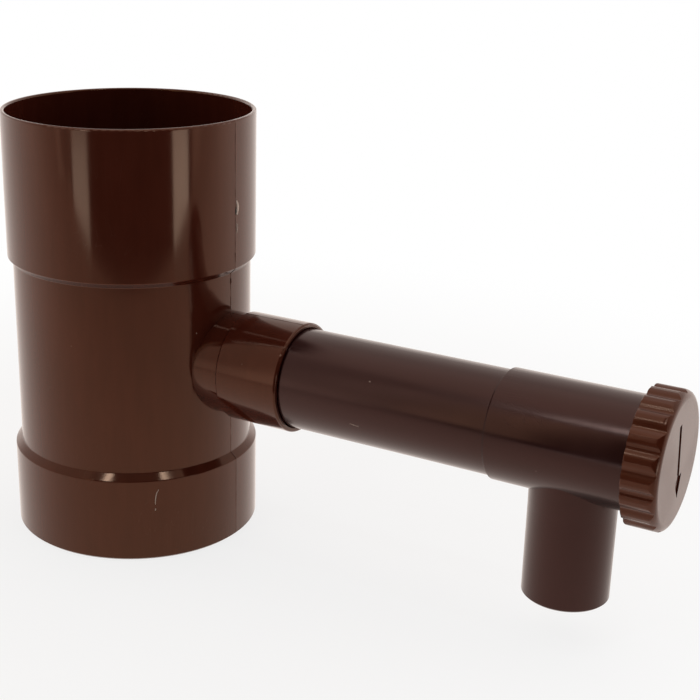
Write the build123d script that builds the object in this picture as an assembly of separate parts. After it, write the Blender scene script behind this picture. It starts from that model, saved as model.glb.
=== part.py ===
from build123d import *

import math
import os

# Rainwater diverter for a round downpipe. The body is a double socket that stands on the lower
# socket's mouth, with its axis on Z and the origin at the centre of that mouth. A branch carries a
# pipe along +X, a tee with a spigot that points down, and a knob that turns half a turn about the
# arm's axis. All sizes are in millimetres or degrees.

# Downpipe and the body's two sockets
downpipe_diameter = 100.0
downpipe_clearance = 0.3
upper_socket_wall = 1.9
upper_socket_height = 62.7
lower_socket_wall = 2.4
lower_socket_height = 38.2
barrel_height = 79.1
barrel_wall = 3.0
lip_radius = 0.9
rim_chamfer = 0.7
shoulder_round = 0.55
shoulder_cove = 0.4
shelf_thickness = 1.0

# Ring gutter and weir inside the barrel
weir_diameter = 71.4
weir_wall = 2.6
weir_rise = 6.0
gutter_floor = 2.2
gutter_below_port = 0.6
drip_skirt = 8.0
weir_edge_radius = 1.0

# Arm pipe
pipe_diameter = 40.7
pipe_wall = 1.5
pipe_shown = 87.5
pipe_end_chamfer = 0.5
socket_fit = 0.05
end_gap = 0.2

# Branch: a short stub on the barrel, then the collar that takes the pipe
arm_above_lower_socket = 40.85
stub_length = 7.8
stub_step = 1.2
collar_length = 27.6
collar_wall = 2.1
collar_stop = 1.0
collar_lip_radius = 0.9
collar_lead_in = 0.5

# Outlet tee
sleeve_wall = 1.05
sleeve_chamfer = 0.6
tee_inlet_length = 29.0
tee_outlet_length = 24.1
chamber_wall = 2.4
spigot_diameter = 33.0
spigot_wall = 2.0
spigot_drop = 62.15
spigot_seat = 36.0
spigot_flare = 0.4
spigot_chamfer = 0.6
spigot_roof = 1.9
port_margin = 0.5

# Hollow plug of the valve, with its two sealing rings and its snap bead
running_clearance = 0.06
plug_wall = 1.9
window_diameter = 21.6
land = 1.4
ring_width = 1.7
ring_side_gap = 0.15
ring_depth = 1.1
ring_clearance = 0.02
ring_corner = 0.55
bead_height = 0.4
bead_width = 1.6
bead_clearance = 0.15

# Knob head
knob_diameter = 51.8
knob_thickness = 12.8
knob_stand = 10.0
lobe_count = 20
lobe_radius = 5.0
lobe_depth = 1.0
crest_trim = 0.05
knob_front_radius = 3.0
knob_back_radius = 0.4
skirt_depth = 8.6
skirt_clearance = 0.35
face_gap = 0.3

# Stop that limits the knob to half a turn
half_turn = 180.0
lug_angle = 8.6
lug_length = 1.6
lug_play_angle = 0.6
lug_play = 0.4
lug_radial_play = 0.15

# Recessed arrow on the knob's face
arrow_top = 15.0
arrow_shoulder = 6.4
arrow_tip = 15.2
arrow_shaft_width = 2.4
arrow_head_width = 8.0
arrow_depth = 0.55

# Radii that follow
barrel_radius = downpipe_diameter / 2
bore_radius = barrel_radius + downpipe_clearance
upper_radius = bore_radius + upper_socket_wall
lower_radius = bore_radius + lower_socket_wall
barrel_bore = barrel_radius - barrel_wall
weir_radius = weir_diameter / 2
weir_bore = weir_radius - weir_wall
pipe_radius = pipe_diameter / 2
pipe_bore = pipe_radius - pipe_wall
collar_bore = pipe_radius + socket_fit
collar_radius = collar_bore + collar_wall
stub_radius = collar_radius - stub_step
tee_radius = collar_bore + sleeve_wall
chamber_radius = tee_radius - chamber_wall
plug_radius = chamber_radius - running_clearance
plug_bore = plug_radius - plug_wall
groove_radius = plug_radius - ring_depth
spigot_radius = spigot_diameter / 2
spigot_bore = spigot_radius - spigot_wall
window_radius = window_diameter / 2
port_radius = window_radius + port_margin
knob_radius = knob_diameter / 2
crest_radius = knob_radius + crest_trim
valley_radius = knob_radius - lobe_depth
skirt_bore = tee_radius + skirt_clearance

# Heights that follow
shoulder_z = lower_socket_height
step_z = shoulder_z + barrel_height
top_z = step_z + upper_socket_height
lower_bevel = lower_radius - barrel_radius
upper_bevel = upper_radius - barrel_radius
lower_shelf_z = shoulder_z - lower_bevel - shelf_thickness
upper_shelf_z = step_z + upper_bevel + shelf_thickness
arm_z = shoulder_z + arm_above_lower_socket
gutter_z = arm_z - pipe_bore - gutter_below_port
weir_top_z = arm_z + pipe_bore + weir_rise
drip_z = gutter_z - gutter_floor - drip_skirt
spigot_end_z = arm_z - spigot_drop

# Places along the arm that follow
collar_x = barrel_radius + stub_length
collar_stop_x = collar_x + collar_stop
collar_mouth_x = collar_x + collar_length
sleeve_x = collar_mouth_x + pipe_shown
spigot_x = sleeve_x + tee_inlet_length
groove_width = ring_width + 2 * ring_side_gap
plug_x = spigot_x - port_radius - 2 * land - groove_width
chamber_x = plug_x - face_gap
knob_back_x = spigot_x + tee_outlet_length
knob_face_x = knob_back_x + knob_thickness
tee_end_x = knob_back_x + skirt_depth
disc_x = tee_end_x + face_gap
rear_groove_x = plug_x + land + groove_width / 2
front_groove_x = knob_back_x - groove_width / 2
bead_x = tee_end_x - skirt_depth / 2

body_axis = Axis.Z
arm_axis = Axis((0, 0, arm_z), (1, 0, 0))


def turned(profile, axis, rounds=()):
    """Solid of revolution from a closed profile drawn in the XZ plane.

    rounds lists the corners of the profile that are rounded, each with its radius.
    """
    face = make_face(Polyline(*profile, close=True).edges())
    for corner, radius in rounds:
        vertex = face.vertices().sort_by_distance((*corner, 0))[0]
        face = fillet(vertex, radius)
    return revolve(Plane.XZ * face, axis)


def along_arm(profile):
    """Turns (along the arm, radius) pairs into points of the XZ plane."""
    return [(x, arm_z + radius) for x, radius in profile]


def round_bar(radius, start, end):
    """Solid bar on the arm's axis from one place along it to another."""
    return turned(along_arm([(start, 0), (end, 0), (end, radius), (start, radius)]), arm_axis)


def upright_bar(radius, low, high, x=0.0):
    """Solid bar parallel to Z."""
    bar = Cylinder(radius, high - low, align=(Align.CENTER, Align.CENTER, Align.MIN))
    return Pos(x, 0, low) * bar


def make_body():
    """Double socket with a ring gutter, its weir and the branch, moulded as one piece."""
    outside = [
        (lower_radius - rim_chamfer, 0),
        (lower_radius, rim_chamfer),
        (lower_radius, shoulder_z - lower_bevel),
        (barrel_radius, shoulder_z),
        (barrel_radius, step_z),
        (upper_radius, step_z + upper_bevel),
        (upper_radius, top_z),
    ]
    upper_inside = [
        (bore_radius, top_z),
        (bore_radius, upper_shelf_z),
        (barrel_bore, upper_shelf_z),
        (barrel_bore, gutter_z),
    ]
    weir = [
        (weir_radius, gutter_z),
        (weir_radius, weir_top_z),
        (weir_bore, weir_top_z),
        (weir_bore, drip_z),
        (weir_radius, drip_z),
        (weir_radius, gutter_z - gutter_floor),
    ]
    lower_inside = [
        (barrel_bore, gutter_z - gutter_floor),
        (barrel_bore, lower_shelf_z),
        (bore_radius, lower_shelf_z),
        (bore_radius, 0),
    ]
    lip = min(lip_radius, 0.45 * upper_socket_wall)
    weir_edge = min(weir_edge_radius, 0.45 * weir_wall)
    rounds = [
        ((lower_radius, shoulder_z - lower_bevel), min(shoulder_round, lower_bevel)),
        ((barrel_radius, shoulder_z), min(shoulder_cove, lower_bevel)),
        ((barrel_radius, step_z), min(shoulder_cove, upper_bevel)),
        ((upper_radius, step_z + upper_bevel), min(shoulder_round, upper_bevel)),
        ((upper_radius, top_z), lip),
        ((bore_radius, top_z), lip),
        ((weir_radius, weir_top_z), weir_edge),
        ((weir_bore, weir_top_z), weir_edge),
    ]
    shell = turned(outside + upper_inside + weir + lower_inside, body_axis, rounds)

    collar_lip = min(collar_lip_radius, 0.45 * collar_wall)
    lead_in = min(collar_lead_in, 0.45 * collar_wall)
    branch = turned(
        along_arm([
            (0, 0),
            (0, stub_radius),
            (collar_x - stub_step, stub_radius),
            (collar_x, collar_radius),
            (collar_mouth_x, collar_radius),
            (collar_mouth_x, collar_bore + lead_in),
            (collar_mouth_x - lead_in, collar_bore),
            (collar_stop_x, collar_bore),
            (collar_stop_x, 0),
        ]),
        arm_axis,
        [((collar_mouth_x, arm_z + collar_radius), collar_lip)],
    )
    branch -= upright_bar((barrel_bore + barrel_radius) / 2, 0, top_z)
    gutter_side = math.sqrt(barrel_bore**2 - pipe_bore**2)
    port = round_bar(pipe_bore, (weir_radius + gutter_side) / 2, collar_mouth_x)
    return shell + branch - port


def make_pipe():
    """Plain pipe that is pushed into the collar and into the tee's sleeve."""
    start = collar_stop_x + end_gap
    end = chamber_x - end_gap
    chamfer_size = min(pipe_end_chamfer, 0.45 * pipe_wall)
    return turned(
        along_arm([
            (start, pipe_bore),
            (start, pipe_radius - chamfer_size),
            (start + chamfer_size, pipe_radius),
            (end - chamfer_size, pipe_radius),
            (end, pipe_radius - chamfer_size),
            (end, pipe_bore),
        ]),
        arm_axis,
    )


def make_tee():
    """Sleeve over the pipe, the valve chamber, the spigot below it and the knob's stop lug."""
    bevel = min(sleeve_chamfer, 0.6 * sleeve_wall)
    bead_half = bead_width / 2 + bead_clearance
    bead_groove = plug_radius + bead_height + bead_clearance
    tee = turned(
        along_arm([
            (sleeve_x, collar_bore),
            (sleeve_x, tee_radius - bevel),
            (sleeve_x + bevel, tee_radius),
            (tee_end_x, tee_radius),
            (tee_end_x, chamber_radius),
            (bead_x + bead_half, chamber_radius),
            (bead_x + bead_half, bead_groove),
            (bead_x - bead_half, bead_groove),
            (bead_x - bead_half, chamber_radius),
            (chamber_x, chamber_radius),
            (chamber_x, collar_bore),
        ]),
        arm_axis,
    )
    spigot_bevel = min(spigot_chamfer, 0.45 * spigot_wall)
    spigot_side = spigot_x + spigot_radius
    spigot = turned(
        [
            (spigot_x, spigot_end_z),
            (spigot_side - spigot_bevel, spigot_end_z),
            (spigot_side, spigot_end_z + spigot_bevel),
            (spigot_side, spigot_end_z + spigot_seat),
            (spigot_side + spigot_flare, arm_z),
            (spigot_x, arm_z),
        ],
        Axis((spigot_x, 0, 0), (0, 0, 1)),
    )
    spigot -= round_bar((tee_radius + chamber_radius) / 2, sleeve_x, tee_end_x)
    tee += spigot
    spigot_top = arm_z - chamber_radius - spigot_roof
    tee -= upright_bar(spigot_bore, spigot_end_z, spigot_top, spigot_x)
    tee -= upright_bar(port_radius, spigot_end_z, arm_z, spigot_x)
    return tee + stop_sector(chamber_radius, tee_radius, lug_length, tee_end_x, -lug_angle / 2, lug_angle)


def stop_sector(inner, outer, length, start, first_angle, sweep):
    """Part of a ring about the arm's axis, from first_angle on, counted from the top."""
    profile = along_arm([(start, inner), (start + length, inner), (start + length, outer), (start, outer)])
    face = Plane.XZ * make_face(Polyline(*profile, close=True).edges())
    return revolve(face, arm_axis, sweep).rotate(arm_axis, first_angle)


def knob_outline():
    """Closed wavy outline of tangent arcs in the YZ plane, with a valley at the top."""
    pitch = 2 * math.pi / lobe_count
    lobe_centre = crest_radius - lobe_radius
    cosine = math.cos(pitch / 2)
    excess = lobe_radius**2 - lobe_centre**2 - valley_radius**2
    valley_arc = (excess + 2 * lobe_centre * valley_radius * cosine) / (
        2 * (valley_radius - lobe_centre * cosine - lobe_radius)
    )
    valley_centre = valley_radius + valley_arc
    share = lobe_radius / (lobe_radius + valley_arc)

    def polar(radius, angle):
        return Vector(radius * math.sin(angle), radius * math.cos(angle))

    edges = []
    for index in range(lobe_count):
        valley_angle = index * pitch
        lobe_angle = valley_angle + pitch / 2
        valley = polar(valley_centre, valley_angle)
        before = polar(lobe_centre, valley_angle - pitch / 2)
        lobe = polar(lobe_centre, lobe_angle)
        after = polar(valley_centre, valley_angle + pitch)
        first = before + (valley - before) * share
        second = lobe + (valley - lobe) * share
        third = lobe + (after - lobe) * share
        edges.append(ThreePointArc(first, polar(valley_radius, valley_angle), second))
        edges.append(ThreePointArc(second, polar(crest_radius, lobe_angle), third))
    return make_face(edges)


def arrow_outline():
    """Arrow that points down, about the centre of the knob's face."""
    shaft = arrow_shaft_width / 2
    head = arrow_head_width / 2
    return make_face(
        Polyline(
            (-shaft, arrow_top),
            (shaft, arrow_top),
            (shaft, -arrow_shoulder),
            (head, -arrow_shoulder),
            (0, -arrow_tip),
            (-head, -arrow_shoulder),
            (-shaft, -arrow_shoulder),
            close=True,
        ).edges()
    )


def make_knob():
    """Scalloped head with a recessed arrow, and the hollow plug with its side window.

    It is drawn with the arrow straight down, at its stop, and then turned by knob_stand.
    """
    face = Plane(origin=(knob_face_x, 0, arm_z), x_dir=(0, 1, 0), z_dir=(1, 0, 0))
    disc = turned(
        along_arm([
            (knob_back_x, 0),
            (knob_back_x, knob_radius),
            (knob_face_x, knob_radius),
            (knob_face_x, 0),
        ]),
        arm_axis,
        [
            ((knob_back_x, arm_z + knob_radius), knob_back_radius),
            ((knob_face_x, arm_z + knob_radius), knob_front_radius),
        ],
    )
    head = disc & extrude(face.offset(1) * knob_outline(), -knob_thickness - 2)
    head -= round_bar(skirt_bore, knob_back_x, disc_x)
    head -= extrude(face * arrow_outline(), -arrow_depth)
    head -= stop_sector(
        chamber_radius - lug_radial_play,
        skirt_bore,
        lug_length - face_gap + lug_play,
        disc_x,
        -half_turn - lug_angle / 2 - lug_play_angle,
        half_turn + lug_angle + 2 * lug_play_angle,
    )

    plug = turned(
        along_arm([
            (plug_x, plug_bore),
            (plug_x, plug_radius),
            (rear_groove_x - groove_width / 2, plug_radius),
            (rear_groove_x - groove_width / 2, groove_radius),
            (rear_groove_x + groove_width / 2, groove_radius),
            (rear_groove_x + groove_width / 2, plug_radius),
            (front_groove_x - groove_width / 2, plug_radius),
            (front_groove_x - groove_width / 2, groove_radius),
            (front_groove_x + groove_width / 2, groove_radius),
            (front_groove_x + groove_width / 2, plug_radius),
            (bead_x - bead_width / 2, plug_radius),
            (bead_x, plug_radius + bead_height),
            (bead_x + bead_width / 2, plug_radius),
            (disc_x, plug_radius),
            (disc_x, plug_bore),
        ]),
        arm_axis,
    )
    plug -= upright_bar(window_radius, arm_z - plug_radius - plug_wall, arm_z, spigot_x)
    return (head + plug).rotate(arm_axis, knob_stand)


def make_ring(middle_x):
    """Sealing ring as it lies in its groove, pressed a little flat by the chamber's wall."""
    outer = chamber_radius - ring_clearance
    corner = min(ring_corner, 0.45 * ring_width, 0.45 * (outer - groove_radius))
    corners = along_arm([
        (middle_x - ring_width / 2, groove_radius),
        (middle_x - ring_width / 2, outer),
        (middle_x + ring_width / 2, outer),
        (middle_x + ring_width / 2, groove_radius),
    ])
    return turned(corners, arm_axis, [(point, corner) for point in corners])


pieces = {
    "diverter_body": make_body(),
    "arm_pipe": make_pipe(),
    "outlet_tee": make_tee(),
    "valve_knob": make_knob(),
    "rear_o_ring": make_ring(rear_groove_x),
    "front_o_ring": make_ring(front_groove_x),
}

os.makedirs("parts", exist_ok=True)
for name, piece in pieces.items():
    export_step(piece, "parts/" + name + ".step")
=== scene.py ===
import math
import random

import bmesh
import bpy
from mathutils import Matrix, Vector
from mathutils.bvhtree import BVHTree


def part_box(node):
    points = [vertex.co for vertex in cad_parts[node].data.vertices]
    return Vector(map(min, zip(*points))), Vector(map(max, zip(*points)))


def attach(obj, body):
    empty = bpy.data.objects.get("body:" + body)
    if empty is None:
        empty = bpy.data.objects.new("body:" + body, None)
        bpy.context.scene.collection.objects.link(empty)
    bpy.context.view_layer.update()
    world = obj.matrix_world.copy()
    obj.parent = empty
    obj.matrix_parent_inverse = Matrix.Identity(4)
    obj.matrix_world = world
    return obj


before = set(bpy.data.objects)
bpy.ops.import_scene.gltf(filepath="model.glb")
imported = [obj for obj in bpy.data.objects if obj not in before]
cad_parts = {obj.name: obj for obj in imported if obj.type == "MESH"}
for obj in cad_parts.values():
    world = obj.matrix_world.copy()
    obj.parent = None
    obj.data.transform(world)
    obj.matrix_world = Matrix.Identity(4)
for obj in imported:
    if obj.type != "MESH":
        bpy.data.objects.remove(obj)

bl_info = {
    "name": "Rainwater Diverter",
    "version": (1, 0, 0),
    "blender": (4, 5, 0),
    "location": "View3D > Sidebar > Diverter",
    "description": "Plastic finishes, mould marks and a small studio for a rainwater diverter",
    "category": "Object",
}

MM = 0.001
PICTURE_PIXELS = 700
SENSOR_WIDTH_MM = 36.0

# Node trees: grid of the layout, and the two inputs and the result of a Mix node of each kind
GRID_WIDTH = 200
GRID_HEIGHT = 180
MIX_SOCKETS = {"FLOAT": (2, 3, 0), "RGBA": (6, 7, 2)}

# Colours of the studio
PLAIN_WHITE = (1.0, 1.0, 1.0, 1.0)
MIRRORED_WHITE = (1.0, 0.90, 0.84, 1.0)
FLOOR_PAINT = (0.92, 0.92, 0.92, 1.0)
COOL_WHITE = (0.76, 0.93, 1.0)
AMBER_WHITE = (1.0, 0.84, 0.62)
WARM_WHITE = (1.0, 0.95, 0.90)

# Room: half its dark opening, the softness of that edge, and where the ceiling starts and is full
OPENING_HALF_ANGLE = math.radians(60.0)
OPENING_SOFTNESS = 0.03
CEILING_EDGE = (0.78, 0.90)

# Slim lamps near the ceiling
TUBE_AIM = Vector((0.1, 0.0, 0.08))
TUBE_THICKNESS = 0.05
TUBE_RADIANCE = 15.0

# Plastic skin: how much hairlines and dust pale and dull it, and how dull its patches are
PLASTIC_IOR = 1.5
HAIRLINE_PALENESS = 0.05
DUST_PALENESS = 0.30
HAIRLINE_DULLNESS = 0.14
DUST_DULLNESS = 0.40
DULL_PATCH = 1.45

# Rubber and the dull plastic of scrapes and of the painted highlights and painted shadow by the
# flash: shares of their own colour in their mottling, and that dull skin
RUBBER_BLOOM = 1.8
SCRAPED_SHADE = 0.82
SCRAPED_ROUGHNESS = 0.6
SCRAPED_GLOSS = 0.25
# Shares of the painted highlight colour that give the dimmer painted highlight and the painted
# shadow beside the flash
DIM_FLASH_HIGHLIGHT_SHARE = 0.46
FLASH_SHADOW_SHARE = 0.004

# Directions and places on the part, and how far from an axis a ray towards it starts
UP = Vector((0.0, 0.0, 1.0))
ARM_WAY = Vector((1.0, 0.0, 0.0))
ACROSS_FLASH = Vector((0.0, 1.0, 0.0))
ARM_HEIGHT = 79.05 * MM
NEAR_WALL_X = 56.3 * MM
BODY_RAY_START = 80 * MM
PIPE_RAY_START = 40 * MM

# Ridge's section: sideways share of its width and share of its height, None for the sunken foot
RIDGE_SECTION = ((-0.5, None), (-0.38, 0.45), (-0.15, 0.95), (0.15, 1.0), (0.38, 0.5), (0.5, None))

# Parting flash: places between two random numbers, and shares that are steady, drift and ripple
DRIFT_STEP = 9
RIPPLE_STEP = 3
FLASH_WIDTH_SHARES = (0.62, 0.5, 0.3)
FLASH_HEIGHT_SHARES = (0.35, 0.9, 0.5)
LUMP_WIDTH_SHARES = (0.7, 0.0, 0.5)
LUMP_HEIGHT_SHARES = (0.6, 0.0, 0.6)
FLASH_END_WIDTH = 0.4
FLASH_END_HEIGHT = 0.2

# Share of a scratch's width that is left at its ends
SCRATCH_END = 0.25

FIXED_BODY = "diverter"

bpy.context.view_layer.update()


# Sizes and colours that a user would change


class BodyPlasticSettings(bpy.types.PropertyGroup):
    """Glossy plastic of the double socket."""

    colour: bpy.props.FloatVectorProperty(
        name="Brown",
        description="Main colour of the moulded body",
        subtype="COLOR",
        min=0.0,
        max=1.0,
        default=(0.068, 0.0137, 0.0075),
    )
    deep_colour: bpy.props.FloatVectorProperty(
        name="Deep brown",
        description="Darker colour of the cloudy patches in the plastic",
        subtype="COLOR",
        min=0.0,
        max=1.0,
        default=(0.056, 0.0108, 0.0058),
    )
    roughness: bpy.props.FloatProperty(
        name="Roughness",
        description="Roughness of the clean, polished skin",
        subtype="FACTOR",
        min=0.0,
        max=1.0,
        default=0.09,
    )
    gloss_tint: bpy.props.FloatVectorProperty(
        name="Gloss tint",
        description="Tint of what the skin mirrors",
        subtype="COLOR",
        min=0.0,
        max=1.0,
        default=(1.0, 0.55, 0.36),
    )
    gloss_level: bpy.props.FloatProperty(
        name="Gloss level",
        description="How strongly the skin mirrors, where 0.5 is plain plastic",
        subtype="FACTOR",
        min=0.0,
        max=1.0,
        default=0.52,
    )


class ArmPlasticSettings(bpy.types.PropertyGroup):
    """Satin plastic of the pipe and the tee."""

    colour: bpy.props.FloatVectorProperty(
        name="Purple brown",
        description="Main colour of the pipe and the tee",
        subtype="COLOR",
        min=0.0,
        max=1.0,
        default=(0.0180, 0.0034, 0.0040),
    )
    deep_colour: bpy.props.FloatVectorProperty(
        name="Dark purple brown",
        description="Darker colour of the streaks along the pipe",
        subtype="COLOR",
        min=0.0,
        max=1.0,
        default=(0.0135, 0.0024, 0.0028),
    )
    roughness: bpy.props.FloatProperty(
        name="Roughness",
        description="Roughness of the clean, drawn skin",
        subtype="FACTOR",
        min=0.0,
        max=1.0,
        default=0.15,
    )
    gloss_tint: bpy.props.FloatVectorProperty(
        name="Gloss tint",
        description="Tint of what the skin mirrors",
        subtype="COLOR",
        min=0.0,
        max=1.0,
        default=(1.0, 0.58, 0.50),
    )
    gloss_level: bpy.props.FloatProperty(
        name="Gloss level",
        description="How strongly the skin mirrors, where 0.5 is plain plastic",
        subtype="FACTOR",
        min=0.0,
        max=1.0,
        default=0.54,
    )


class KnobPlasticSettings(bpy.types.PropertyGroup):
    """Glossy plastic of the scalloped knob."""

    colour: bpy.props.FloatVectorProperty(
        name="Warm brown",
        description="Main colour of the knob",
        subtype="COLOR",
        min=0.0,
        max=1.0,
        default=(0.070, 0.0140, 0.0062),
    )
    deep_colour: bpy.props.FloatVectorProperty(
        name="Deep warm brown",
        description="Darker colour of the cloudy patches in the knob",
        subtype="COLOR",
        min=0.0,
        max=1.0,
        default=(0.055, 0.0100, 0.0044),
    )
    roughness: bpy.props.FloatProperty(
        name="Roughness",
        description="Roughness of the clean, polished skin",
        subtype="FACTOR",
        min=0.0,
        max=1.0,
        default=0.19,
    )
    gloss_tint: bpy.props.FloatVectorProperty(
        name="Gloss tint",
        description="Tint of what the skin mirrors",
        subtype="COLOR",
        min=0.0,
        max=1.0,
        default=(1.0, 0.55, 0.38),
    )
    gloss_level: bpy.props.FloatProperty(
        name="Gloss level",
        description="How strongly the skin mirrors, where 0.5 is plain plastic",
        subtype="FACTOR",
        min=0.0,
        max=1.0,
        default=0.56,
    )


class SealRubberSettings(bpy.types.PropertyGroup):
    """Black rubber of the two sealing rings."""

    colour: bpy.props.FloatVectorProperty(
        name="Black",
        description="Colour of the rubber",
        subtype="COLOR",
        min=0.0,
        max=1.0,
        default=(0.012, 0.012, 0.012),
    )
    roughness: bpy.props.FloatProperty(
        name="Roughness",
        description="Roughness of the greased rubber",
        subtype="FACTOR",
        min=0.0,
        max=1.0,
        default=0.42,
    )


class PartingFlashSettings(bpy.types.PropertyGroup):
    """Thin ridge that the mould's joint left on the body."""

    width: bpy.props.FloatProperty(
        name="Width",
        description="Mean width of the ridge",
        unit="LENGTH",
        min=0.0,
        default=0.34 * MM,
    )
    height: bpy.props.FloatProperty(
        name="Height",
        description="Mean height of the ridge above the plastic",
        unit="LENGTH",
        min=0.0,
        default=0.10 * MM,
    )
    sunk: bpy.props.FloatProperty(
        name="Sunk",
        description="How deep the ridge's foot lies in the plastic",
        unit="LENGTH",
        min=0.0,
        default=0.08 * MM,
    )
    spacing: bpy.props.FloatProperty(
        name="Spacing",
        description="Distance between two sections of the ridge",
        unit="LENGTH",
        min=0.1 * MM,
        default=0.4 * MM,
    )


class HandlingMarkSettings(bpy.types.PropertyGroup):
    """Pale scratches and specks left by handling, and the colour of the painted highlight on the
    upper socket's flash.
    """

    width: bpy.props.FloatProperty(
        name="Width",
        description="Width of a scratch at its middle",
        unit="LENGTH",
        min=0.0,
        default=0.42 * MM,
    )
    height: bpy.props.FloatProperty(
        name="Height",
        description="How far the lifted plastic stands proud",
        unit="LENGTH",
        min=0.0,
        default=0.035 * MM,
    )
    colour: bpy.props.FloatVectorProperty(
        name="Scraped colour",
        description="Colour of scraped plastic",
        subtype="COLOR",
        min=0.0,
        max=1.0,
        default=(0.66, 0.53, 0.45),
    )
    # Painted highlight: a pale colour that stands in for the glint on the upper socket's flash
    # lumps
    flash_highlight_colour: bpy.props.FloatVectorProperty(
        name="Flash highlight colour",
        description="Colour of the painted highlight on the upper socket's flash",
        subtype="COLOR",
        min=0.0,
        max=1.0,
        default=(1.0, 0.82, 0.70),
    )


class StudioSettings(bpy.types.PropertyGroup):
    """Camera, floor and lights."""

    azimuth: bpy.props.FloatProperty(
        name="Azimuth",
        description="Where the camera stands, turned from the part's front towards its arm",
        subtype="ANGLE",
        unit="ROTATION",
        default=math.radians(30.69),
    )
    elevation: bpy.props.FloatProperty(
        name="Elevation",
        description="How far the camera looks down",
        subtype="ANGLE",
        unit="ROTATION",
        default=math.radians(19.59),
    )
    roll: bpy.props.FloatProperty(
        name="Roll",
        description="How far the camera leans",
        subtype="ANGLE",
        unit="ROTATION",
        default=math.radians(0.995),
    )
    distance: bpy.props.FloatProperty(
        name="Distance",
        description="Distance from the camera to the point that it looks at",
        unit="LENGTH",
        min=0.05,
        default=0.5555,
    )
    target: bpy.props.FloatVectorProperty(
        name="Target",
        description="Point that the camera looks at",
        subtype="TRANSLATION",
        unit="LENGTH",
        default=(0.08347, 0.0, 0.08761),
    )
    focal_pixels: bpy.props.FloatProperty(
        name="Focal length",
        description="Focal length in pixels of a picture 700 pixels wide",
        min=100.0,
        default=1378.3,
    )
    shift: bpy.props.FloatVectorProperty(
        name="Shift",
        description="Lens shift across and up, as shares of the picture's width",
        size=2,
        default=(0.0714, 0.0101),
    )
    room_turn: bpy.props.FloatProperty(
        name="Room turn",
        description="How far the room's front is turned past the camera",
        subtype="ANGLE",
        unit="ROTATION",
        default=math.radians(7.2),
    )
    opening_turn: bpy.props.FloatProperty(
        name="Opening turn",
        description="How far the middle of the room's dark opening is turned past the camera",
        subtype="ANGLE",
        unit="ROTATION",
        default=math.radians(3.3),
    )
    floor_front: bpy.props.FloatProperty(
        name="Floor front",
        description="Distance from the part's axis to the front edge of the pale floor",
        unit="LENGTH",
        min=0.1,
        default=0.443,
    )
    floor_reach: bpy.props.FloatProperty(
        name="Floor reach",
        description="How far the floor goes back and to each side",
        unit="LENGTH",
        min=0.5,
        default=2.6,
    )


class DiverterSettings(bpy.types.PropertyGroup):
    """All settings of the diverter."""

    body_plastic: bpy.props.PointerProperty(type=BodyPlasticSettings)
    arm_plastic: bpy.props.PointerProperty(type=ArmPlasticSettings)
    knob_plastic: bpy.props.PointerProperty(type=KnobPlasticSettings)
    seal_rubber: bpy.props.PointerProperty(type=SealRubberSettings)
    parting_flash: bpy.props.PointerProperty(type=PartingFlashSettings)
    handling_marks: bpy.props.PointerProperty(type=HandlingMarkSettings)
    studio: bpy.props.PointerProperty(type=StudioSettings)


# Node tools


def add_node(tree, kind, across, down, **values):
    """New node at a grid place; values set its own properties."""
    node = tree.nodes.new(kind)
    node.location = (across * GRID_WIDTH, -down * GRID_HEIGHT)
    for name, value in values.items():
        setattr(node, name, value)
    return node


def connect(tree, socket, source):
    """Links an input to another socket, or sets it to a plain value."""
    if isinstance(source, bpy.types.NodeSocket):
        tree.links.new(source, socket)
    else:
        socket.default_value = source


def feed(tree, target, **sources):
    """Connects inputs by their names, with spaces written as underscores."""
    for name, source in sources.items():
        connect(tree, target.inputs[name.replace("_", " ")], source)


def arithmetic(tree, operation, first, second, across, down, clamp=False):
    """Result of a Math node on two numbers or sockets."""
    node = add_node(tree, "ShaderNodeMath", across, down, operation=operation, use_clamp=clamp)
    connect(tree, node.inputs[0], first)
    connect(tree, node.inputs[1], second)
    return node.outputs["Value"]


def vector_maths(tree, operation, first, second, across, down):
    """Outputs of a Vector Math node; second is None where it takes one vector."""
    node = add_node(tree, "ShaderNodeVectorMath", across, down, operation=operation)
    connect(tree, node.inputs[0], first)
    if second is not None:
        connect(tree, node.inputs[1], second)
    return node.outputs


def mixed(tree, kind, share, first, second, across, down):
    """Number ("FLOAT") or colour ("RGBA") between two others."""
    node = add_node(tree, "ShaderNodeMix", across, down, data_type=kind)
    first_input, second_input, result = MIX_SOCKETS[kind]
    feed(tree, node, Factor=share)
    connect(tree, node.inputs[first_input], first)
    connect(tree, node.inputs[second_input], second)
    return node.outputs[result]


def remapped(tree, value, across, down, span, becomes):
    """Value moved smoothly from one range to another."""
    node = add_node(tree, "ShaderNodeMapRange", across, down, interpolation_type="SMOOTHSTEP")
    feed(tree, node, Value=value, From_Min=span[0], From_Max=span[1])
    feed(tree, node, To_Min=becomes[0], To_Max=becomes[1])
    return node.outputs["Result"]


def noise(tree, vector, across, down, **amounts):
    """Grey noise from 0 to 1, with its Scale, Detail and Distortion."""
    node = add_node(tree, "ShaderNodeTexNoise", across, down)
    feed(tree, node, Vector=vector, **amounts)
    return node.outputs["Fac"]


def stretched(tree, vector, scale, across, down):
    """Vector scaled by its own amount along each axis."""
    node = add_node(tree, "ShaderNodeMapping", across, down)
    feed(tree, node, Vector=vector, Scale=scale)
    return node.outputs["Vector"]


def finish_tree(tree, surface, across, kind="ShaderNodeOutputMaterial"):
    """Ends a material's or the world's tree with its output node."""
    output = add_node(tree, kind, across, 0)
    feed(tree, output, Surface=surface)


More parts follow.
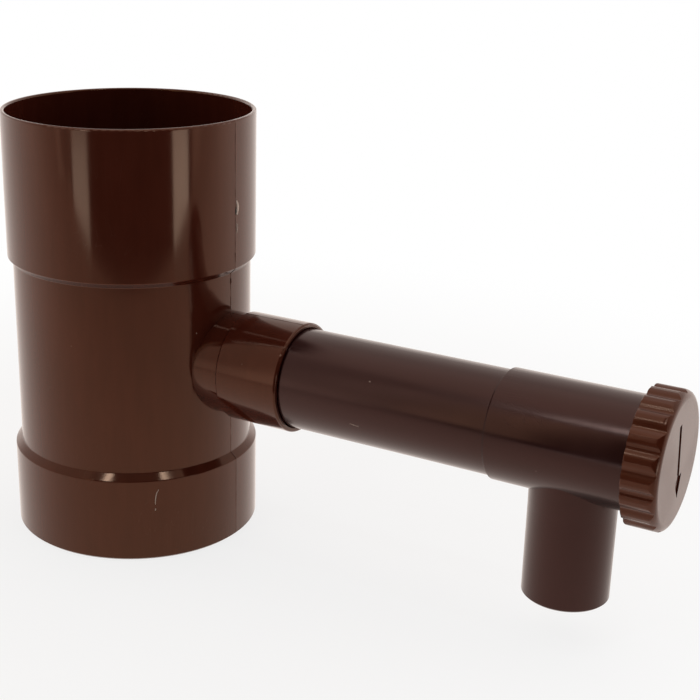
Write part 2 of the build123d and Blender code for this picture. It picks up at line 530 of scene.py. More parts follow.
def new_group(name, inputs, outputs):
    """Empty shader group with its sockets; returns (tree, inputs by name, output node)."""
    tree = bpy.data.node_groups.new(name, "ShaderNodeTree")
    for socket_name, socket_type, default in inputs:
        socket = tree.interface.new_socket(socket_name, in_out="INPUT", socket_type=socket_type)
        if default is not None:
            socket.default_value = default
    for socket_name, socket_type in outputs:
        tree.interface.new_socket(socket_name, in_out="OUTPUT", socket_type=socket_type)
    source = add_node(tree, "NodeGroupInput", -6, 0)
    sink = add_node(tree, "NodeGroupOutput", 6, 0)
    return tree, source.outputs, sink


# Effects shared by the materials


def cloudy_tone_group():
    """Colour that drifts between two browns, with faint flow streaks."""
    tree, given, sink = new_group(
        "Cloudy Tone",
        [
            ("Vector", "NodeSocketVector", None),
            ("Colour", "NodeSocketColor", None),
            ("Deep Colour", "NodeSocketColor", None),
            ("Streak Scale", "NodeSocketVector", (20.0, 20.0, 4.0)),
        ],
        [("Colour", "NodeSocketColor")],
    )
    clouds = noise(tree, given["Vector"], -4, 0, Scale=26.0, Detail=3.0, Distortion=0.4)
    drawn = stretched(tree, given["Vector"], given["Streak Scale"], -4, 2)
    streaks = noise(tree, drawn, -3, 2, Scale=9.0, Detail=4.0)
    both = arithmetic(tree, "ADD", clouds, streaks, -2, 1)
    share = remapped(tree, both, -1, 1, span=(0.72, 1.28), becomes=(0.0, 1.0))
    tone = mixed(tree, "RGBA", share, given["Colour"], given["Deep Colour"], 1, 0)
    feed(tree, sink, Colour=tone)
    return tree


def hairline_group():
    """Mask of fine, broken rub marks that run in two directions."""
    tree, given, sink = new_group(
        "Hairlines",
        [
            ("Vector", "NodeSocketVector", None),
            ("Stretch", "NodeSocketVector", (1.0, 1.0, 1.0)),
            ("Scale", "NodeSocketFloat", 420.0),
        ],
        [("Mask", "NodeSocketFloat")],
    )
    # Turn of the marks in radians, and scale of the patches that keep them
    directions = [((0.10, 0.06, 0.0), 33.0), ((0.45, -0.38, 0.3), 24.0)]
    middle_grey = 0.5
    half_width = 0.012
    masks = []
    for index, (turning, patch_scale) in enumerate(directions):
        row = index * 3
        turn = add_node(tree, "ShaderNodeVectorRotate", -5, row, rotation_type="EULER_XYZ")
        feed(tree, turn, Vector=given["Vector"], Rotation=turning)
        drawn = stretched(tree, turn.outputs["Vector"], given["Stretch"], -4, row)
        field = noise(tree, drawn, -3, row, Scale=given["Scale"], Detail=0.0)
        signed = arithmetic(tree, "SUBTRACT", field, middle_grey, -2, row)
        distance = arithmetic(tree, "ABSOLUTE", signed, 0.0, -1, row)
        line = remapped(tree, distance, 0, row, span=(0.0, half_width), becomes=(1.0, 0.0))
        patches = noise(tree, given["Vector"], -3, row + 1, Scale=patch_scale, Detail=2.0)
        kept = remapped(tree, patches, -2, row + 1, span=(0.57, 0.70), becomes=(0.0, 1.0))
        masks.append(arithmetic(tree, "MULTIPLY", line, kept, 1, row))
    feed(tree, sink, Mask=arithmetic(tree, "MAXIMUM", *masks, 3, 1))
    return tree


def speck_group():
    """Mask of small scattered dust specks."""
    tree, given, sink = new_group(
        "Dust Specks",
        [
            ("Vector", "NodeSocketVector", None),
            ("Scale", "NodeSocketFloat", 160.0),
            ("Share", "NodeSocketFloat", 0.07),
        ],
        [("Mask", "NodeSocketFloat")],
    )
    cells = add_node(tree, "ShaderNodeTexVoronoi", -4, 0)
    feed(tree, cells, Vector=given["Vector"], Scale=given["Scale"])
    chance = add_node(tree, "ShaderNodeSeparateColor", -3, 1)
    feed(tree, chance, Color=cells.outputs["Color"])
    distance = cells.outputs["Distance"]
    dot = remapped(tree, distance, -2, 0, span=(0.02, 0.05), becomes=(1.0, 0.0))
    picked = arithmetic(tree, "LESS_THAN", chance.outputs["Red"], given["Share"], -2, 1)
    feed(tree, sink, Mask=arithmetic(tree, "MULTIPLY", dot, picked, 0, 0))
    return tree


def skin_height_group():
    """Height of a moulded skin: fine grain and a slow wave that bends reflections a little."""
    tree, given, sink = new_group(
        "Skin Height",
        [
            ("Vector", "NodeSocketVector", None),
            ("Grain Stretch", "NodeSocketVector", (1.0, 1.0, 1.0)),
            ("Grain Scale", "NodeSocketFloat", 700.0),
            ("Grain Share", "NodeSocketFloat", 0.04),
            ("Wave Scale", "NodeSocketFloat", 22.0),
        ],
        [("Height", "NodeSocketFloat")],
    )
    drawn = stretched(tree, given["Vector"], given["Grain Stretch"], -4, 0)
    grain = noise(tree, drawn, -3, 0, Scale=given["Grain Scale"], Detail=2.0)
    wave = noise(tree, given["Vector"], -3, 1, Scale=given["Wave Scale"], Detail=1.0)
    fine = arithmetic(tree, "MULTIPLY", grain, given["Grain Share"], -1, 0)
    feed(tree, sink, Height=arithmetic(tree, "ADD", fine, wave, 1, 0))
    return tree


GROUP_MAKERS = {
    "Cloudy Tone": cloudy_tone_group,
    "Hairlines": hairline_group,
    "Dust Specks": speck_group,
    "Skin Height": skin_height_group,
}


def use_group(tree, name, across, down, **inputs):
    """Places a shared group in a material; the group is made the first time that it is used."""
    group = bpy.data.node_groups.get(name) or GROUP_MAKERS[name]()
    node = add_node(tree, "ShaderNodeGroup", across, down, node_tree=group)
    feed(tree, node, **inputs)
    return node.outputs


# Materials


def empty_material(name):
    """New material with an empty tree; returns both."""
    material = bpy.data.materials.new(name)
    material.use_nodes = True
    material.node_tree.nodes.clear()
    return material, material.node_tree


def plastic(name, settings, streaks, hair_stretch, grain, wave_depth, pale_tint):
    """Plastic with cloudy colour, hairlines, dust and a skin that bends reflections a little."""
    material, tree = empty_material(name)
    where = add_node(tree, "ShaderNodeTexCoord", -7, 0).outputs["Object"]
    browns = {"Colour": (*settings.colour, 1.0), "Deep_Colour": (*settings.deep_colour, 1.0)}
    tones = use_group(tree, "Cloudy Tone", -4, 0, Vector=where, Streak_Scale=streaks, **browns)
    hairlines = use_group(tree, "Hairlines", -4, 1, Vector=where, Stretch=hair_stretch)
    dust = use_group(tree, "Dust Specks", -4, 2, Vector=where)
    skin_height = use_group(tree, "Skin Height", -4, 3, Vector=where, **grain)

    pale_hairs = arithmetic(tree, "MULTIPLY", hairlines["Mask"], HAIRLINE_PALENESS, -3, 1)
    pale_dust = arithmetic(tree, "MULTIPLY", dust["Mask"], DUST_PALENESS, -3, 2)
    pale = arithmetic(tree, "ADD", pale_hairs, pale_dust, -2, 1, clamp=True)
    colour = mixed(tree, "RGBA", pale, tones["Colour"], (*pale_tint, 1.0), -1, 0)

    patches = noise(tree, where, -4, 5, Scale=38.0, Detail=3.0)
    shine = (settings.roughness, settings.roughness * DULL_PATCH)
    skin = remapped(tree, patches, -3, 5, span=(0.35, 0.7), becomes=shine)
    dull_hairs = arithmetic(tree, "MULTIPLY", hairlines["Mask"], HAIRLINE_DULLNESS, -2, 4)
    dull_dust = arithmetic(tree, "MULTIPLY", dust["Mask"], DUST_DULLNESS, -2, 5)
    dull = arithmetic(tree, "ADD", dull_hairs, dull_dust, -1, 4)
    rough = arithmetic(tree, "ADD", skin, dull, 0, 4, clamp=True)

    bump = add_node(tree, "ShaderNodeBump", 0, 3)
    feed(tree, bump, Height=skin_height["Height"], Strength=1.0, Distance=wave_depth)

    shader = add_node(tree, "ShaderNodeBsdfPrincipled", 2, 0)
    feed(tree, shader, Base_Color=colour, Roughness=rough, Normal=bump.outputs["Normal"])
    shader.inputs["IOR"].default_value = PLASTIC_IOR
    shader.inputs["Specular IOR Level"].default_value = settings.gloss_level
    shader.inputs["Specular Tint"].default_value = (*settings.gloss_tint, 1.0)
    finish_tree(tree, shader.outputs["BSDF"], 4)
    return material


def rubber(name, settings):
    """Slightly mottled black rubber."""
    material, tree = empty_material(name)
    where = add_node(tree, "ShaderNodeTexCoord", -5, 0).outputs["Object"]
    grain = noise(tree, where, -3, 0, Scale=900.0, Detail=4.0)
    greyer = [channel * RUBBER_BLOOM for channel in settings.colour]
    colour = mixed(tree, "RGBA", grain, (*settings.colour, 1.0), (*greyer, 1.0), -1, 0)
    shine = (settings.roughness * 0.85, settings.roughness * 1.2)
    rough = remapped(tree, grain, -1, 1, span=(0.3, 0.7), becomes=shine)
    bump = add_node(tree, "ShaderNodeBump", -1, 2)
    feed(tree, bump, Height=grain, Strength=0.5, Distance=0.02 * MM)
    shader = add_node(tree, "ShaderNodeBsdfPrincipled", 1, 0)
    feed(tree, shader, Base_Color=colour, Roughness=rough, Normal=bump.outputs["Normal"])
    finish_tree(tree, shader.outputs["BSDF"], 3)
    return material


def scrape_and_painted_light_plastic(name, colour):
    """Pale, dull plastic where the skin is scraped, also used for the painted highlights and the
    painted shadow beside the flash.
    """
    material, tree = empty_material(name)
    where = add_node(tree, "ShaderNodeTexCoord", -5, 0).outputs["Object"]
    grain = noise(tree, where, -3, 0, Scale=1500.0, Detail=3.0)
    shaded = [channel * SCRAPED_SHADE for channel in colour]
    tone = mixed(tree, "RGBA", grain, (*shaded, 1.0), (*colour, 1.0), -1, 0)
    shader = add_node(tree, "ShaderNodeBsdfPrincipled", 1, 0)
    feed(tree, shader, Base_Color=tone)
    shader.inputs["Roughness"].default_value = SCRAPED_ROUGHNESS
    shader.inputs["Specular IOR Level"].default_value = SCRAPED_GLOSS
    finish_tree(tree, shader.outputs["BSDF"], 3)
    return material


def body_material(settings):
    """Material of the body and of its flash, made once."""
    name = "Body Plastic"
    return bpy.data.materials.get(name) or plastic(
        name,
        settings.body_plastic,
        streaks=(22.0, 22.0, 3.0),
        hair_stretch=(1.0, 1.0, 0.03),
        grain={"Grain_Stretch": (1.0, 1.0, 1.0), "Grain_Scale": 620.0, "Grain_Share": 0.010},
        wave_depth=0.10 * MM,
        pale_tint=(0.30, 0.21, 0.17),
    )


def arm_material(settings):
    """Material of the pipe and the tee, made once."""
    name = "Arm Plastic"
    return bpy.data.materials.get(name) or plastic(
        name,
        settings.arm_plastic,
        streaks=(2.0, 26.0, 26.0),
        hair_stretch=(0.02, 1.0, 1.0),
        grain={"Grain_Stretch": (0.03, 1.0, 1.0), "Grain_Scale": 1400.0, "Grain_Share": 0.012},
        wave_depth=0.09 * MM,
        pale_tint=(0.26, 0.20, 0.19),
    )


def knob_material(settings):
    """Material of the knob and its plug, made once."""
    name = "Knob Plastic"
    return bpy.data.materials.get(name) or plastic(
        name,
        settings.knob_plastic,
        streaks=(5.0, 22.0, 22.0),
        hair_stretch=(0.06, 1.0, 1.0),
        grain={"Grain_Stretch": (1.0, 1.0, 1.0), "Grain_Scale": 900.0, "Grain_Share": 0.020},
        wave_depth=0.07 * MM,
        pale_tint=(0.34, 0.24, 0.19),
    )


def dress(node_name, material):
    """Gives a CAD node its material."""
    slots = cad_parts[node_name].material_slots
    if not slots:
        raise RuntimeError(f"{node_name} has no material slot")
    for place in slots:
        place.material = material


# Added geometry


def skin_of(node_name):
    """Search tree of a CAD node's surface."""
    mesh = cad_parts[node_name].data
    points = [vertex.co.copy() for vertex in mesh.vertices]
    faces = [tuple(face.vertices) for face in mesh.polygons]
    return BVHTree.FromPolygons(points, faces)


def touch(skin, start, direction):
    """Point and outward normal where a ray meets the surface."""
    point, normal, _, _ = skin.ray_cast(Vector(start), Vector(direction))
    if point is None:
        raise RuntimeError(f"no surface beyond {tuple(start)}")
    if normal.dot(Vector(direction)) > 0:
        normal = -normal
    return point, normal


def stations(start, end, spacing):
    """Evenly spaced places from start to end."""
    count = max(2, round(abs(end - start) / spacing))
    return [start + (end - start) * index / count for index in range(count + 1)]


def smooth_random(generator, count, step):
    """List of numbers from 0 to 1 that drift, with a new one every few places."""
    marks = [generator.random() for _ in range(count // step + 3)]
    values = []
    for index in range(count):
        whole, part = divmod(index / step, 1)
        share = part * part * (3 - 2 * part)
        first = marks[int(whole)]
        values.append(first + (marks[int(whole) + 1] - first) * share)
    return values


def uneven(shares, drift, ripple):
    """Steady share of a size, with what slow drift and fine ripple add to it."""
    steady, slow, fine = shares
    return steady + slow * drift + fine * ripple


def flash_sizes(generator, places, settings, lumps):
    """Uneven widths and heights of a parting flash, with its thicker torn lumps."""
    count = len(places)
    drifts = smooth_random(generator, count, DRIFT_STEP)
    ripples = smooth_random(generator, count, RIPPLE_STEP)
    widths = []
    heights = []
    for place, drift, ripple in zip(places, drifts, ripples):
        width = settings.width * uneven(FLASH_WIDTH_SHARES, drift, ripple)
        height = settings.height * uneven(FLASH_HEIGHT_SHARES, drift, ripple)
        for middle, length, extra_width, extra_height in lumps:
            share = max(0.0, 1 - (abs(place - middle) / (length / 2)) ** 4)
            width += extra_width * share * uneven(LUMP_WIDTH_SHARES, drift, ripple)
            height += extra_height * share * uneven(LUMP_HEIGHT_SHARES, drift, ripple)
        widths.append(width)
        heights.append(height)
    for end in (0, -1):
        widths[end] *= FLASH_END_WIDTH
        heights[end] *= FLASH_END_HEIGHT
    return widths, heights


def finished_piece(name, mesh, material):
    """Scene object from a bmesh, shaded smooth."""
    data = bpy.data.meshes.new(name)
    mesh.to_mesh(data)
    mesh.free()
    for face in data.polygons:
        face.use_smooth = True
    data.materials.append(material)
    piece = bpy.data.objects.new(name, data)
    bpy.context.scene.collection.objects.link(piece)
    return piece


def ridge(name, spine, across, widths, heights, sunk, material):
    """Closed ridge along a spine of (point, normal) pairs, as wide and high as given at each."""
    mesh = bmesh.new()
    rings = []
    for (point, normal), width, height in zip(spine, widths, heights):
        ring = []
        for side, rise in RIDGE_SECTION:
            lift = -sunk if rise is None else rise * height
            ring.append(mesh.verts.new(point + across * side * width + normal * lift))
        rings.append(ring)
    count = len(RIDGE_SECTION)
    for first, second in zip(rings, rings[1:]):
        for index in range(count):
            other = (index + 1) % count
            mesh.faces.new((first[index], first[other], second[other], second[index]))
    mesh.faces.new(rings[0])
    mesh.faces.new(list(reversed(rings[-1])))
    bmesh.ops.recalc_face_normals(mesh, faces=mesh.faces)
    return finished_piece(name, mesh, material)


def scratch(name, points, width, height, material):
    """Thin lifted scratch along (point, normal) pairs, widest at its middle."""
    count = len(points)
    widths = []
    for index in range(count):
        swell = math.sin(math.pi * (index + 0.5) / count)
        widths.append(width * (SCRATCH_END + (1 - SCRATCH_END) * swell))
    along = (points[-1][0] - points[0][0]).normalized()
    across = along.cross(points[count // 2][1]).normalized()
    return ridge(name, points, across, widths, [height] * count, height, material)


# Operators


class DIVERTER_OT_body_finish(bpy.types.Operator):
    """Gives the moulded body its glossy brown plastic"""

    bl_idname = "diverter.body_finish"
    bl_label = "Body Finish"

    def execute(self, context):
        dress("diverter_body", body_material(context.scene.diverter))
        return {"FINISHED"}


class DIVERTER_OT_arm_finish(bpy.types.Operator):
    """Gives the pipe and the tee their dark satin plastic"""

    bl_idname = "diverter.arm_finish"
    bl_label = "Arm Finish"

    def execute(self, context):
        material = arm_material(context.scene.diverter)
        dress("arm_pipe", material)
        dress("outlet_tee", material)
        return {"FINISHED"}


class DIVERTER_OT_knob_finish(bpy.types.Operator):
    """Gives the knob its warm brown plastic and its rings their rubber"""

    bl_idname = "diverter.knob_finish"
    bl_label = "Knob Finish"

    def execute(self, context):
        settings = context.scene.diverter
        dress("valve_knob", knob_material(settings))
        seal = rubber("Seal Rubber", settings.seal_rubber)
        dress("front_o_ring", seal)
        dress("rear_o_ring", seal)
        return {"FINISHED"}


class DIVERTER_OT_parting_flash(bpy.types.Operator):
    """Lays the mould's parting flash along both sides of the body and along the branch"""

    bl_idname = "diverter.parting_flash"
    bl_label = "Parting Flash"

    def execute(self, context):
        settings = context.scene.diverter
        flash = settings.parting_flash
        material = body_material(settings)
        skin = skin_of("diverter_body")
        low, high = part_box("diverter_body")
        rim_gap = 1.0 * MM
        foot = low.z + rim_gap
        top = high.z - rim_gap
        stub_bottom = 57.6 * MM
        stub_top = 100.5 * MM
        branch_start = 50.6 * MM
        branch_end = high.x - 0.4 * MM
        beside_arm = Vector((NEAR_WALL_X, 0.0, 0.0))
        beyond_back = Vector((-60 * MM, 0.0, 0.0))
        over_branch = Vector((0.0, 0.0, 115 * MM))
        under_branch = Vector((0.0, 0.0, 45 * MM))
        # Middle, length, extra width and extra height of each torn lump
        lumps = [
            (124.0 * MM, 5.0 * MM, 0.24 * MM, 0.12 * MM),
            (113.8 * MM, 3.0 * MM, 0.40 * MM, 0.24 * MM),
            (105.2 * MM, 4.8 * MM, 0.34 * MM, 0.20 * MM),
        ]
        # Name, first and last place, where the rays start and run along, where they aim, and lumps
        runs = [
            ("flash_above_branch", stub_top, top, beside_arm, UP, -ARM_WAY, lumps),
            ("flash_below_branch", foot, stub_bottom, beside_arm, UP, -ARM_WAY, []),
            ("flash_far_side", foot, top, beyond_back, UP, ARM_WAY, []),
            ("flash_branch_top", branch_start, branch_end, over_branch, ARM_WAY, -UP, []),
            ("flash_branch_bottom", branch_start, branch_end, under_branch, ARM_WAY, UP, []),
        ]
        generator = random.Random(32)
        for name, start, end, origin, along, aim, thicker in runs:
            places = stations(start, end, flash.spacing)
            spine = [touch(skin, origin + along * place, aim) for place in places]
            widths, heights = flash_sizes(generator, places, flash, thicker)
            piece = ridge(name, spine, ACROSS_FLASH, widths, heights, flash.sunk, material)
            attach(piece, FIXED_BODY)
        return {"FINISHED"}


class DIVERTER_OT_flash_light_and_shade(bpy.types.Operator):
    """Adds slivers beside the upper socket's flash: a painted highlight, a dimmer painted
    highlight and a painted shadow
    """

    bl_idname = "diverter.torn_flash"
    bl_label = "Flash Light And Shade"

    def execute(self, context):
        marks = context.scene.diverter.handling_marks
        # Painted highlight: pale dull plastic laid on the flash where its lumps catch the light
        painted_highlight = scrape_and_painted_light_plastic("Painted Flash Highlight", marks.flash_highlight_colour)
        # Dimmer painted highlight: the highlight colour scaled down for the smaller glint lower on
        # the flash
        dim_highlight_colour = [channel * DIM_FLASH_HIGHLIGHT_SHARE for channel in marks.flash_highlight_colour]
        dull = scrape_and_painted_light_plastic("Dim Painted Flash Highlight", dim_highlight_colour)
        # Painted shadow: a nearly black sliver where the lump shades the body beside it
        flash_shadow_colour = [channel * FLASH_SHADOW_SHARE for channel in marks.flash_highlight_colour]
        painted_shadow = scrape_and_painted_light_plastic("Painted Flash Shadow", flash_shadow_colour)
        skin = skin_of("diverter_body")
        spacing = 0.25 * MM
        sunk = 0.1 * MM
        end_swell = 0.04
        end_width = 0.35
        end_height = 0.45
        # Name, lowest and highest place, offset, bulge, width and height in mm, and material
        # The first two slivers paint highlights on the flash lumps and the third paints the shadow
        # beside them
        slivers = [
            ("flash_highlight_sliver", 141.8, 147.7, 0.85, 0.75, 1.45, 0.46, painted_highlight),
            ("flash_dim_highlight_sliver", 134.2, 138.2, 1.05, 0.25, 1.00, 0.20, dull),
            ("flash_shadow_sliver", 141.7, 145.4, 0.05, 0.25, 1.25, 0.12, painted_shadow),
        ]
        for name, low, high, offset, bulge, width, height, material in slivers:
            spine = []
            widths = []
            heights = []
            for place in stations(low * MM, high * MM, spacing):
                share = (place / MM - low) / (high - low)
                swell = math.sin(math.pi * (end_swell + (1 - 2 * end_swell) * share))
                origin = (NEAR_WALL_X, (offset + bulge * swell) * MM, place)
                spine.append(touch(skin, origin, -ARM_WAY))
                widths.append(width * (end_width + (1 - end_width) * swell) * MM)
                heights.append(height * (end_height + (1 - end_height) * swell) * MM)
            piece = ridge(name, spine, ACROSS_FLASH, widths, heights, sunk, material)
            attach(piece, FIXED_BODY)
        return {"FINISHED"}


class DIVERTER_OT_handling_marks(bpy.types.Operator):
    """Adds the pale scratches on the lower socket and on the pipe"""

    bl_idname = "diverter.handling_marks"
    bl_label = "Handling Marks"

    def execute(self, context):
        settings = context.scene.diverter
        marks = settings.handling_marks
        material = scrape_and_painted_light_plastic("Scraped Plastic", marks.colour)
        body_skin = skin_of("diverter_body")
        pipe_skin = skin_of("arm_pipe")

        def on_body(angle_degrees, height_mm):
            """Place on the body, at an angle counted from its front towards the arm."""
            outward = level_direction(math.radians(angle_degrees))
            origin = outward * BODY_RAY_START + UP * height_mm * MM
            return touch(body_skin, origin, -outward)

        def on_pipe(x_mm, angle_degrees):
            """Place on the pipe, at an angle counted from its front upwards."""
            angle = math.radians(angle_degrees)
            outward = Vector((0.0, -math.cos(angle), math.sin(angle)))
            axis_point = Vector((x_mm * MM, 0.0, ARM_HEIGHT))
            return touch(pipe_skin, axis_point + outward * PIPE_RAY_START, -outward)

        socket_curve = [
            (46.9, 31.6),
            (46.1, 30.4),
            (45.55, 29.0),
            (45.3, 27.4),
            (45.15, 25.9),
            (45.25, 24.8),
        ]
        socket_end = [(45.3, 23.2), (45.2, 22.7), (45.1, 22.2)]
        pipe_curve = [(117.6 + 0.8 * index, -17.2 - 0.25 * index) for index in range(6)]
        pipe_dot = [(124.0, 35.2), (124.25, 35.1), (124.5, 35.0)]
        barrel_dot = [(67.3, 96.3), (67.5, 96.1), (67.7, 95.9)]
        # Name, where its places lie, the places, and its share of the full width
        lines = [
            ("socket_scratch", on_body, socket_curve, 1.0),
            ("socket_nick", on_body, socket_end, 1.3),
            ("pipe_scratch", on_pipe, pipe_curve, 0.6),
            ("pipe_speck", on_pipe, pipe_dot, 1.0),
            ("barrel_speck", on_body, barrel_dot, 0.8),
        ]
        for name, surface, places, share in lines:
            points = [surface(*place) for place in places]
            piece = scratch(name, points, marks.width * share, marks.height, material)
            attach(piece, FIXED_BODY)
        return {"FINISHED"}


# Studio


def level_direction(azimuth):
    """Level unit vector, with its azimuth counted from the part's front towards its arm."""
    return Vector((math.sin(azimuth), -math.cos(azimuth), 0.0))


def place_camera(studio):
    """Camera at the photograph's viewing angle."""
    outward = level_direction(studio.azimuth)
    back = outward * math.cos(studio.elevation) + UP * math.sin(studio.elevation)
    side = level_direction(studio.azimuth + math.pi / 2)
    upward = back.cross(side)
    lean_side = side * math.cos(studio.roll) + upward * math.sin(studio.roll)
    lean_up = upward * math.cos(studio.roll) - side * math.sin(studio.roll)
    data = bpy.data.cameras.new("Camera")
    data.sensor_width = SENSOR_WIDTH_MM
    data.lens = studio.focal_pixels * SENSOR_WIDTH_MM / PICTURE_PIXELS
    data.shift_x, data.shift_y = studio.shift
    data.clip_start = 0.01
    data.clip_end = 50.0
    camera = bpy.data.objects.new("Camera", data)
    bpy.context.scene.collection.objects.link(camera)
    place = Matrix.Translation(Vector(studio.target) + back * studio.distance)
    camera.matrix_world = place @ Matrix((lean_side, lean_up, back)).transposed().to_4x4()
    bpy.context.scene.camera = camera


def floor_material(front):
    """Pale floor that shows white to the camera and in reflections, and keeps a soft shadow."""
    material, tree = empty_material("Pale Floor")
    where = add_node(tree, "ShaderNodeTexCoord", -6, 0).outputs["Object"]
    reach = vector_maths(tree, "LENGTH", where, None, -4, 0)["Value"]
    plain = remapped(tree, reach, -3, 0, span=(0.12, 0.46), becomes=(0.80, 1.0))
    path = add_node(tree, "ShaderNodeLightPath", -4, 3).outputs
    straight = arithmetic(tree, "MULTIPLY", path["Is Camera Ray"], plain, -2, 1)
    glossy = path["Is Glossy Ray"]
    mirrored = arithmetic(tree, "MAXIMUM", glossy, path["Is Transmission Ray"], -2, 3)
    share = arithmetic(tree, "MAXIMUM", straight, mirrored, -1, 2)
    tone = mixed(tree, "RGBA", mirrored, PLAIN_WHITE, MIRRORED_WHITE, -1, 4)
    forward = vector_maths(tree, "DOT_PRODUCT", where, front, -4, 5)["Value"]
    fading = remapped(tree, forward, -3, 5, span=(-0.05, 0.44), becomes=(1.2, 0.7))
    strength = mixed(tree, "FLOAT", mirrored, 1.0, fading, -1, 6)
    paint = add_node(tree, "ShaderNodeBsdfDiffuse", 0, 1)
    paint.inputs["Color"].default_value = FLOOR_PAINT
    glow = add_node(tree, "ShaderNodeEmission", 0, 0)
    feed(tree, glow, Color=tone, Strength=strength)
    mix = add_node(tree, "ShaderNodeMixShader", 2, 0)
    feed(tree, mix, Fac=share)
    tree.links.new(paint.outputs["BSDF"], mix.inputs[1])
    tree.links.new(glow.outputs["Emission"], mix.inputs[2])
    finish_tree(tree, mix.outputs["Shader"], 4)
    return material


def lay_floor(studio):
    """Level floor that ends a little in front of the part."""
    front = level_direction(studio.azimuth + studio.room_turn)
    right = level_direction(studio.azimuth + studio.room_turn + math.pi / 2)
    reach = studio.floor_reach
    corners = [
        front * studio.floor_front - right * reach,
        front * studio.floor_front + right * reach,
        front * -reach + right * reach,
        front * -reach - right * reach,
    ]
    data = bpy.data.meshes.new("Floor")
    data.from_pydata([tuple(corner) for corner in corners], [], [(0, 1, 2, 3)])
    data.materials.append(floor_material(front))
    floor = bpy.data.objects.new("Floor", data)
    floor.location.z = -0.2 * MM
    bpy.context.scene.collection.objects.link(floor)


def light_world(studio):
    """White surroundings, with a dark opening towards the camera and a dim ceiling."""
    front = level_direction(studio.azimuth + studio.opening_turn)
    world = bpy.data.worlds.new("Studio")
    bpy.context.scene.world = world
    world.use_nodes = True
    tree = world.node_tree
    tree.nodes.clear()
    direction = add_node(tree, "ShaderNodeTexCoord", -7, 0).outputs["Generated"]
    parts = add_node(tree, "ShaderNodeSeparateXYZ", -6, 2)
    feed(tree, parts, Vector=direction)
    rise = parts.outputs["Z"]
    level = vector_maths(tree, "MULTIPLY", direction, (1.0, 1.0, 0.0), -6, 0)["Vector"]
    heading = vector_maths(tree, "NORMALIZE", level, None, -5, 0)["Vector"]
    facing = vector_maths(tree, "DOT_PRODUCT", heading, front, -4, 0)["Value"]

    edge = math.cos(OPENING_HALF_ANGLE)
    soft_edge = (edge - OPENING_SOFTNESS, edge + OPENING_SOFTNESS)
    opening = remapped(tree, facing, -3, 0, span=soft_edge, becomes=(1.0, 0.05))
    sides = remapped(tree, facing, -3, 6, span=(-0.7, 0.3), becomes=(1.38, 1.04))
    upper_walls = remapped(tree, rise, -3, 7, span=(0.05, 0.3), becomes=(1.0, 0.66))
    below_ceiling = remapped(tree, rise, -3, 2, span=CEILING_EDGE, becomes=(1.0, 0.0))
    lit_sides = arithmetic(tree, "MULTIPLY", opening, sides, -2, 6)
    lit = arithmetic(tree, "MULTIPLY", lit_sides, upper_walls, -2, 7)
    walls = arithmetic(tree, "MULTIPLY", lit, below_ceiling, -1, 0)
    ceiling = remapped(tree, rise, -4, 2, span=CEILING_EDGE, becomes=(0.0, 1.0))
    back_share = remapped(tree, facing, -4, 4, span=(0.66, 0.42), becomes=(0.24, 1.15))
    roof = arithmetic(tree, "MULTIPLY", ceiling, back_share, -2, 2)
    room = arithmetic(tree, "ADD", walls, roof, -1, 1)

    seen = add_node(tree, "ShaderNodeLightPath", -4, 6).outputs["Is Camera Ray"]
    tone = mixed(tree, "RGBA", seen, MIRRORED_WHITE, PLAIN_WHITE, 0, 2)
    strength = mixed(tree, "FLOAT", seen, room, 1.0, 0, 0)
    backdrop = add_node(tree, "ShaderNodeBackground", 1, 0)
    feed(tree, backdrop, Color=tone, Strength=strength)
    finish_tree(tree, backdrop.outputs["Background"], 3, "ShaderNodeOutputWorld")


def area_light(name, width, height, radiance, colour):
    """Rectangular light of a given radiance, hidden from the camera."""
    data = bpy.data.lights.new(name, "AREA")
    data.shape = "RECTANGLE"
    data.size = width
    data.size_y = height
    data.color = colour
    data.energy = radiance * width * height * math.pi
    light = bpy.data.objects.new(name, data)
    light.visible_camera = False
    bpy.context.scene.collection.objects.link(light)
    return light


def hang_strip(name, azimuth, away, width, low, high, radiance, colour):
    """Upright light at an azimuth around the part, facing its axis."""
    middle = Vector((0.0, 0.0, (low + high) / 2))
    place = level_direction(azimuth) * away + middle
    light = area_light(name, width, high - low, radiance, colour)
    light.location = place
    light.rotation_euler = (middle - place).to_track_quat("-Z", "Y").to_euler()


def hang_tube(name, near_end, far_end):
    """Slim lamp between two points near the ceiling, facing the part."""
    start = Vector(near_end)
    end = Vector(far_end)
    middle = (start + end) / 2
    along = (end - start).normalized()
    towards = (TUBE_AIM - middle).normalized()
    side = along.cross(towards).normalized()
    facing = side.cross(along).normalized()
    light = area_light(name, (end - start).length, TUBE_THICKNESS, TUBE_RADIANCE, COOL_WHITE)
    turn = Matrix((along, side, -facing)).transposed().to_4x4()
    light.matrix_world = Matrix.Translation(middle) @ turn


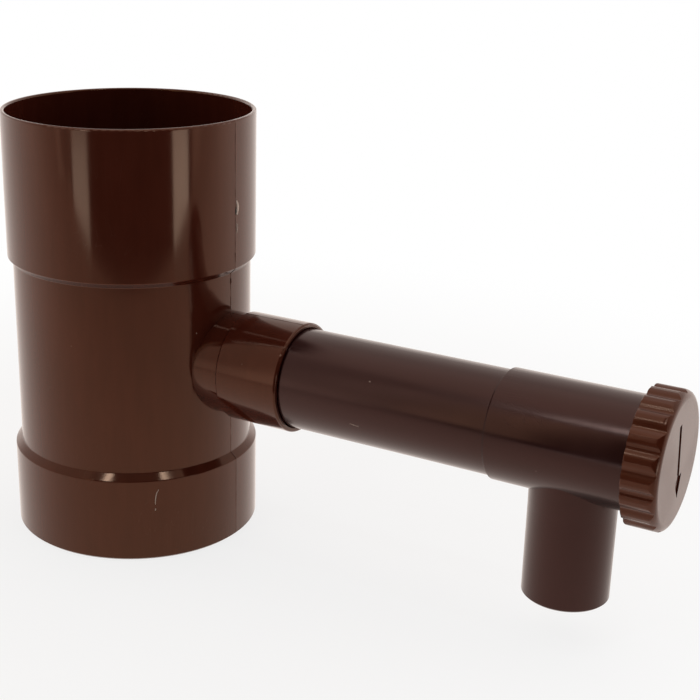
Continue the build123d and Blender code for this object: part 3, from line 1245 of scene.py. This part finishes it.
def hang_lights(studio):
    """Strips and dim panels beside the room's opening, and two slim lamps near its ceiling."""
    room = studio.azimuth + studio.room_turn
    # Name, turn from the room's front in degrees, distance, width, foot, top, radiance and colour
    strips = [
        ("Left Panel", -58.0, 0.80, 0.17, -0.50, 0.0, 1.0, WARM_WHITE),
        ("Left Wall", -58.0, 0.80, 0.17, 0.0, 0.95, 0.38, WARM_WHITE),
        ("Left Strip", -44.5, 3.00, 0.75, -2.00, -0.34, 3.3, COOL_WHITE),
        ("Left Drape", -47.6, 0.80, 0.11, 0.06, 0.95, 1.2, AMBER_WHITE),
        ("Right Strip", 43.4, 0.80, 0.20, -0.50, 0.06, 4.3, COOL_WHITE),
    ]
    for name, turn, *sizes in strips:
        hang_strip(name, room + math.radians(turn), *sizes)
    hang_tube("Left Tube", (0.015, -0.50, 1.0), (-0.141, -0.71, 1.0))
    hang_tube("Right Tube", (0.475, -0.169, 1.0), (0.717, -0.108, 1.0))


class DIVERTER_OT_studio(bpy.types.Operator):
    """Builds the camera, the pale floor, the surroundings and the soft lights"""

    bl_idname = "diverter.studio"
    bl_label = "Studio"

    def execute(self, context):
        studio = context.scene.diverter.studio
        place_camera(studio)
        lay_floor(studio)
        light_world(studio)
        hang_lights(studio)
        context.scene.view_settings.view_transform = "Standard"
        return {"FINISHED"}


class DIVERTER_PT_panel(bpy.types.Panel):
    """Lists the steps that dress the diverter"""

    bl_idname = "DIVERTER_PT_panel"
    bl_label = "Rainwater Diverter"
    bl_space_type = "VIEW_3D"
    bl_region_type = "UI"
    bl_category = "Diverter"

    def draw(self, context):
        column = self.layout.column()
        for step in STEPS:
            column.operator(step.bl_idname)


STEPS = (
    DIVERTER_OT_body_finish,
    DIVERTER_OT_arm_finish,
    DIVERTER_OT_knob_finish,
    DIVERTER_OT_parting_flash,
    DIVERTER_OT_flash_light_and_shade,
    DIVERTER_OT_handling_marks,
    DIVERTER_OT_studio,
)

CLASSES = (
    BodyPlasticSettings,
    ArmPlasticSettings,
    KnobPlasticSettings,
    SealRubberSettings,
    PartingFlashSettings,
    HandlingMarkSettings,
    StudioSettings,
    DiverterSettings,
    *STEPS,
    DIVERTER_PT_panel,
)


def register():
    """Registers the classes and the scene's settings."""
    for item in CLASSES:
        bpy.utils.register_class(item)
    bpy.types.Scene.diverter = bpy.props.PointerProperty(type=DiverterSettings)


def unregister():
    """Takes the classes and the settings out again."""
    del bpy.types.Scene.diverter
    for item in reversed(CLASSES):
        bpy.utils.unregister_class(item)


def main():
    """Runs every step in order."""
    register()
    bpy.ops.diverter.body_finish()
    bpy.ops.diverter.arm_finish()
    bpy.ops.diverter.knob_finish()
    bpy.ops.diverter.parting_flash()
    bpy.ops.diverter.torn_flash()
    bpy.ops.diverter.handling_marks()
    bpy.ops.diverter.studio()


if __name__ == "__main__":
    main()
